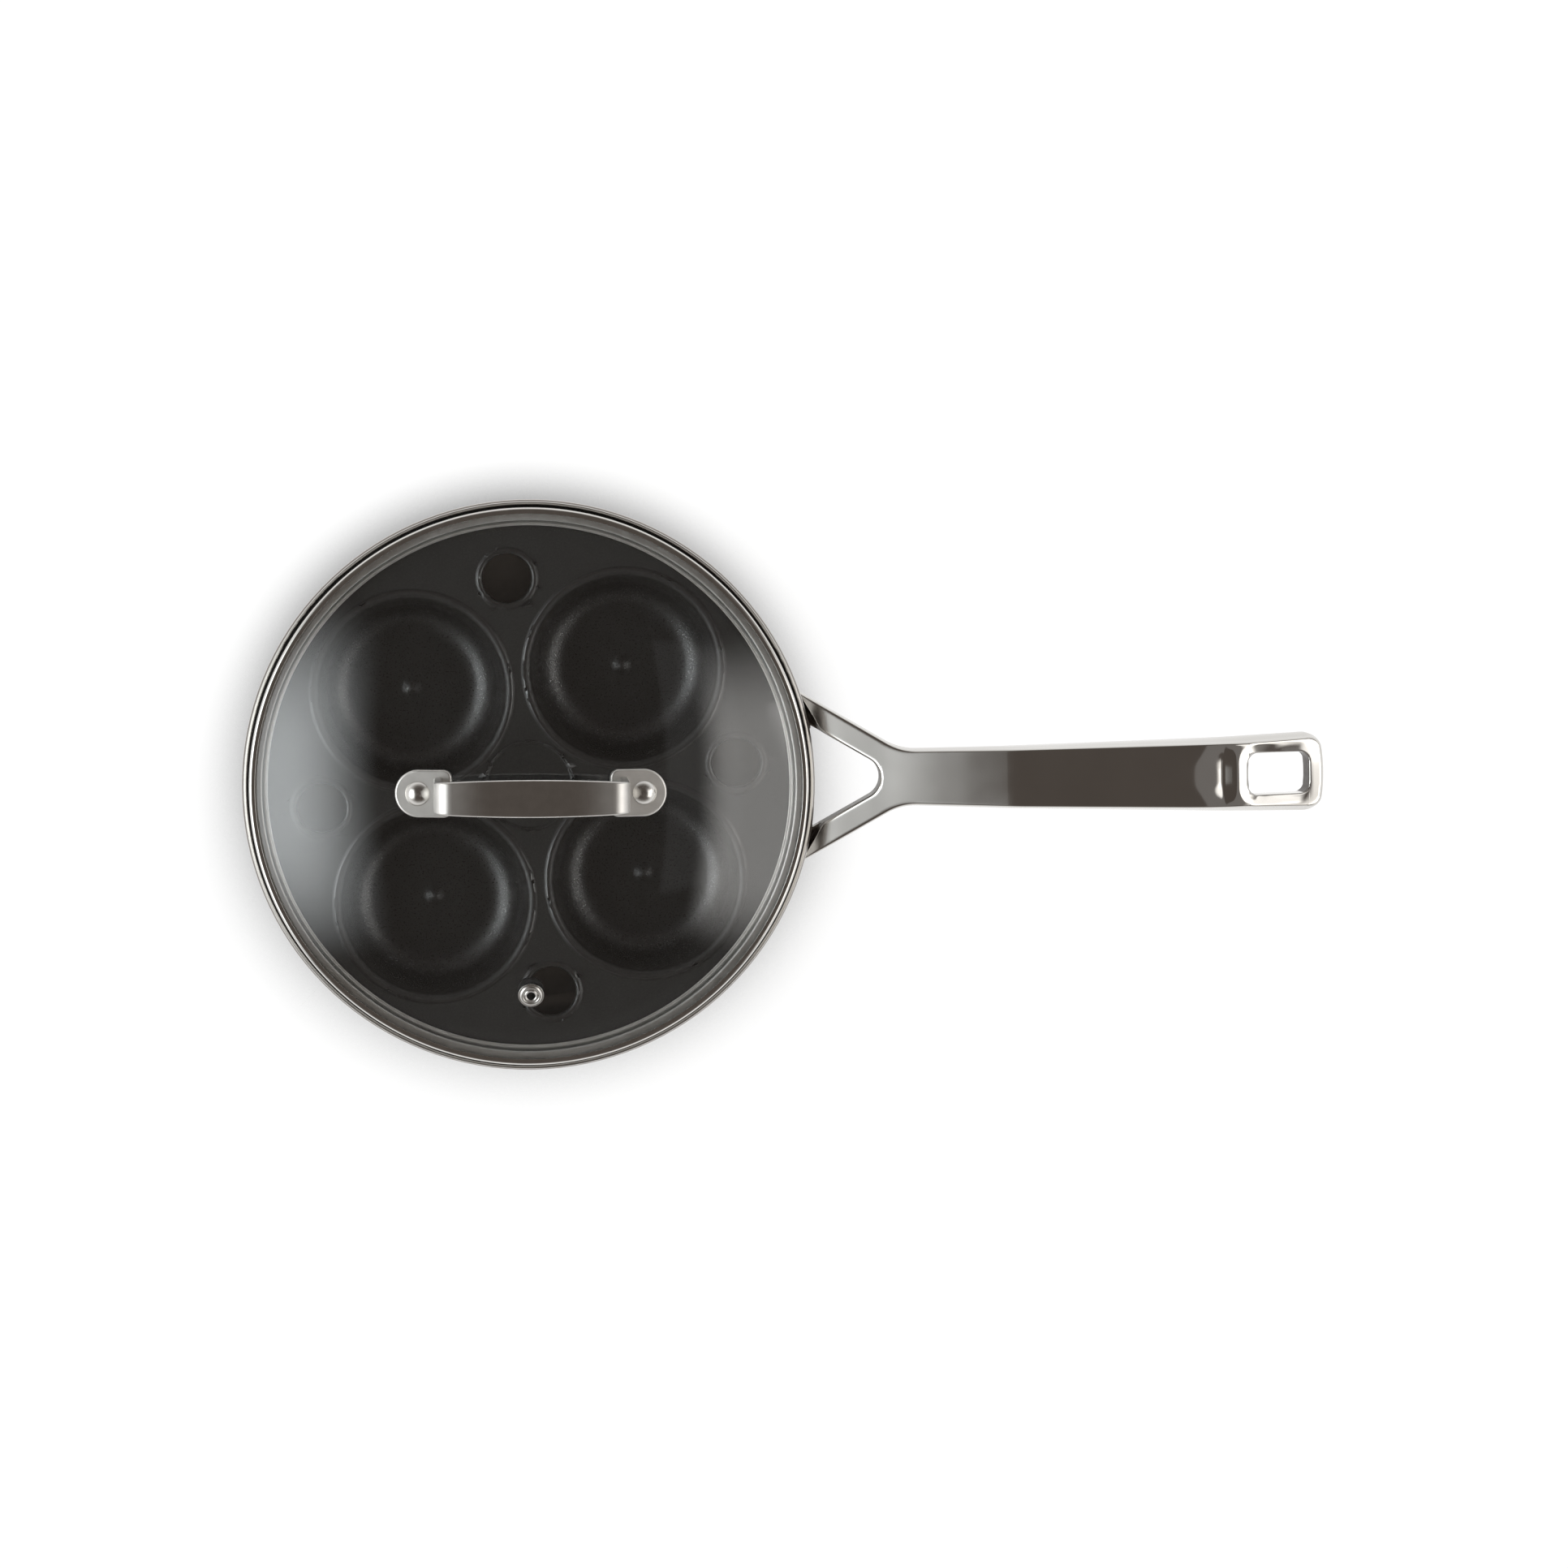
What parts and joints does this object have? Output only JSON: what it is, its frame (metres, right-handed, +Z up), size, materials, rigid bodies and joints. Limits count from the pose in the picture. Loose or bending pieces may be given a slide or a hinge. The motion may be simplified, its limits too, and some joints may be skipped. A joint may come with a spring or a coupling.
{
  "type": "egg poacher pan",
  "caption": "Round clad steel pan with a forked long handle, a dark pressed insert of egg cups with steam holes, and a domed glass lid with a steel band, strap handle and steam vent.",
  "frame": {"origin": "centre of the pan's flat base, on the surface that it stands on", "axes": "+X along the pan's long handle, +Z up through the lid, +Y to the left of the handle seen from above"},
  "size_m": [0.3961, 0.2106, 0.1224],
  "materials": {
    "polished_steel": "polished cast or rolled stainless steel",
    "steel_ply": "satin stainless steel",
    "aluminium_core": "bare rolled aluminium, seen only at the cut rim",
    "nonstick": "dark non-stick coat with a fine speckle, on pressed metal",
    "lid_glass": "clear tempered glass",
    "silicone": "dark soft silicone"
  },
  "bodies": {
    "pan": {"pan_inner_ply": "steel_ply", "pan_core_ply": "aluminium_core", "pan_outer_ply": "polished_steel", "pan_handle": "polished_steel", "pan_rivet_left": "polished_steel", "pan_rivet_right": "polished_steel"},
    "insert": {"insert_plate": "nonstick"},
    "lid": {"lid_glass": "lid_glass", "lid_band": "polished_steel", "lid_handle": "polished_steel", "vent_eyelet": "polished_steel", "vent_grommet": "silicone", "vent_washer": "steel_ply", "lid_foot_pad_front": "silicone", "lid_grommet_front": "silicone", "lid_washer_front": "steel_ply", "lid_rivet_front": "polished_steel", "lid_foot_pad_back": "silicone", "lid_grommet_back": "silicone", "lid_washer_back": "steel_ply", "lid_rivet_back": "polished_steel"}
  },
  "joints": [
    {"name": "insert_lift", "type": "slide", "parent": "pan", "child": "insert", "axis": [0, 0, 1], "range_m": [0, 0.08]},
    {"name": "lid_lift", "type": "slide", "parent": "insert", "child": "lid", "axis": [0, 0, 1], "range_m": [0, 0.1]}
  ]
}
